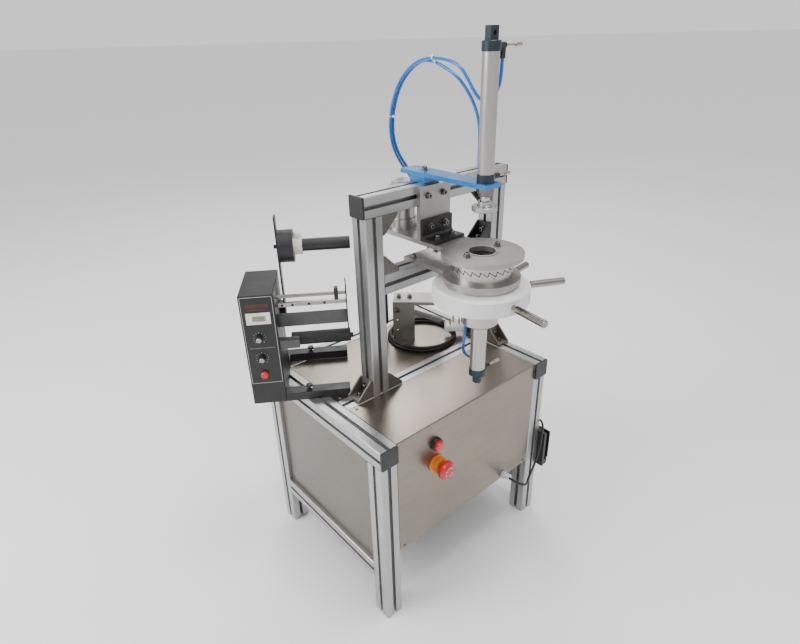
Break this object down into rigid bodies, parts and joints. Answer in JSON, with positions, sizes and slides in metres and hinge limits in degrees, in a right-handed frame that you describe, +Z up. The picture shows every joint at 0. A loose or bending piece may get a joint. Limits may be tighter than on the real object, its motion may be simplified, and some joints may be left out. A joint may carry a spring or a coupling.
{
  "type": "soap pleat wrapping machine",
  "caption": "Bench machine on a slotted aluminium frame: a press cylinder over a toothed wrapping ring with hand levers, an ejector below, and a label dispenser at its side.",
  "frame": {"origin": "on the floor at the centre of the four foot holes in the ends of the legs", "axes": "+X to the machine's right, -Y to its front where the operator stands, +Z up"},
  "size_m": [0.5977, 0.6019, 1.114],
  "materials": {
    "profile": "satin anodised extrusion",
    "plain_aluminium": "machined and bead blasted",
    "cast_aluminium": "die cast, tumbled",
    "sheet_steel": "brushed stainless sheet",
    "polished_steel": "polished stainless",
    "chrome_rod": "hard chromed",
    "bolt_steel": "zinc plated",
    "black_paint": "black powder coat",
    "black_plastic": "moulded, fine grain",
    "blue_film": "blue protective film on aluminium",
    "white_plastic": "turned white plastic, satin",
    "clear_white_plastic": "glossy moulded",
    "dark_cap": "dark blue grey anodised end cap",
    "blue_tube": "blue polyurethane air tube",
    "black_cord": "black cable jacket",
    "red_plastic": "glossy moulded",
    "yellow_plastic": "moulded",
    "grey_plastic": "moulded nylon",
    "brass": "turned brass",
    "black_rubber": "rubber sleeve"
  },
  "bodies": {
    "root": {"air_tube_ejector": "blue_tube", "air_tube_lower": "blue_tube", "air_tube_upper": "blue_tube", "arm_plate": "blue_film", "arm_spacer": "blue_film", "black_brackets": "black_paint", "cable_glands": "grey_plastic", "corner_brackets": "cast_aluminium", "ejector_cap": "dark_cap", "ejector_tube": "plain_aluminium", "end_caps": "black_plastic", "fasteners": "bolt_steel", "flow_valve": "black_plastic", "front_panel": "sheet_steel", "gantry_beams": "profile", "hanger_plate": "plain_aluminium", "inset_panels": "sheet_steel", "label_case": "black_paint", "label_feet": "black_paint", "label_guides": "polished_steel", "legs": "profile", "lower_head_plate": "plain_aluminium", "lower_rails": "profile", "lower_tooth_ring": "plain_aluminium", "mains_coil": "black_cord", "mains_plug": "clear_white_plastic", "pedal_base": "black_plastic", "pedal_cord": "black_cord", "power_lamp": "red_plastic", "press_caps": "dark_cap", "press_tube": "plain_aluminium", "rear_bracket": "plain_aluminium", "rear_post": "plain_aluminium", "rear_top_plate": "sheet_steel", "ring_hub": "plain_aluminium", "speed_controllers": "brass", "stop_collar": "yellow_plastic", "supply_arm": "black_paint", "table_beams": "profile", "upper_head_plate": "plain_aluminium", "upper_tooth_ring": "plain_aluminium", "uprights": "profile"},
    "press": {"press_rod": "chrome_rod", "press_pad": "polished_steel"},
    "ejector": {"ejector_rod": "polished_steel"},
    "ring": {"hand_ring": "white_plastic", "ring_handles": "polished_steel"},
    "stop_push": {"stop_button": "red_plastic"},
    "speed_dial": {"speed_knob": "black_plastic"},
    "delay_dial": {"delay_knob": "black_plastic"},
    "feed_push": {"feed_button": "red_plastic"},
    "label_roll": {"roll_spindle": "black_plastic"},
    "roller": {"feed_roller": "black_rubber"},
    "treadle": {"pedal_treadle": "black_plastic"},
    "leaf_1": {"pleat_leaf_1": "polished_steel"},
    "leaf_2": {"pleat_leaf_2": "polished_steel"},
    "leaf_3": {"pleat_leaf_3": "polished_steel"},
    "leaf_4": {"pleat_leaf_4": "polished_steel"},
    "leaf_5": {"pleat_leaf_5": "polished_steel"},
    "leaf_6": {"pleat_leaf_6": "polished_steel"}
  },
  "joints": [
    {"name": "press_slide", "type": "slide", "parent": "root", "child": "press", "axis": [0, 0, -1], "range_m": [0, 0.125]},
    {"name": "ejector_slide", "type": "slide", "parent": "root", "child": "ejector", "axis": [0, 0, 1], "range_m": [0, 0.045]},
    {"name": "ring_turn", "type": "hinge", "parent": "root", "child": "ring", "pos_m": [0.024, -0.191, 0.673], "axis": [0, 0, -1], "range_deg": [0, 60]},
    {"name": "leaf_1_swing", "type": "hinge", "parent": "root", "child": "leaf_1", "pos_m": [0.066, -0.191, 0.725], "axis": [0, 0, 1], "range_deg": [0, 27]},
    {"name": "leaf_2_swing", "type": "hinge", "parent": "root", "child": "leaf_2", "pos_m": [0.045, -0.15463, 0.725], "axis": [0, 0, 1], "range_deg": [0, 27]},
    {"name": "leaf_3_swing", "type": "hinge", "parent": "root", "child": "leaf_3", "pos_m": [0.003, -0.15463, 0.725], "axis": [0, 0, 1], "range_deg": [0, 27]},
    {"name": "leaf_4_swing", "type": "hinge", "parent": "root", "child": "leaf_4", "pos_m": [-0.018, -0.191, 0.725], "axis": [0, 0, 1], "range_deg": [0, 27]},
    {"name": "leaf_5_swing", "type": "hinge", "parent": "root", "child": "leaf_5", "pos_m": [0.003, -0.22737, 0.725], "axis": [0, 0, 1], "range_deg": [0, 27]},
    {"name": "leaf_6_swing", "type": "hinge", "parent": "root", "child": "leaf_6", "pos_m": [0.045, -0.22737, 0.725], "axis": [0, 0, 1], "range_deg": [0, 27]},
    {"name": "stop_push", "type": "slide", "parent": "root", "child": "stop_push", "axis": [0, 1, 0], "range_m": [0, 0.005]},
    {"name": "speed_dial_turn", "type": "hinge", "parent": "root", "child": "speed_dial", "pos_m": [-0.30763, 0.07222, 0.592], "axis": [-0.5592, -0.829, 0], "range_deg": [-140, 140]},
    {"name": "delay_dial_turn", "type": "hinge", "parent": "root", "child": "delay_dial", "pos_m": [-0.30763, 0.07222, 0.548], "axis": [-0.5592, -0.829, 0], "range_deg": [-140, 140]},
    {"name": "feed_push", "type": "slide", "parent": "root", "child": "feed_push", "axis": [0.5592, 0.829, 0], "range_m": [0, 0.002], "stiffness_N_per_m": 400},
    {"name": "label_roll_spin", "type": "hinge", "parent": "root", "child": "label_roll", "pos_m": [-0.21498, 0.12553, 0.741], "axis": [0.829, -0.5592, 0], "continuous": true},
    {"name": "roller_spin", "type": "hinge", "parent": "root", "child": "roller", "pos_m": [-0.25542, 0.08525, 0.5645], "axis": [0.829, -0.5592, 0], "continuous": true},
    {"name": "treadle_press", "type": "hinge", "parent": "root", "child": "treadle", "pos_m": [0.259, -0.189, 0.149], "axis": [0, -1, 0], "range_deg": [0, 2.5], "stiffness_Nm_per_rad": 6}
  ],
  "couplings": [
    {"joint": "leaf_1_swing", "follows": "ring_turn", "ratio": 0.45},
    {"joint": "leaf_2_swing", "follows": "ring_turn", "ratio": 0.45},
    {"joint": "leaf_3_swing", "follows": "ring_turn", "ratio": 0.45},
    {"joint": "leaf_4_swing", "follows": "ring_turn", "ratio": 0.45},
    {"joint": "leaf_5_swing", "follows": "ring_turn", "ratio": 0.45},
    {"joint": "leaf_6_swing", "follows": "ring_turn", "ratio": 0.45}
  ]
}
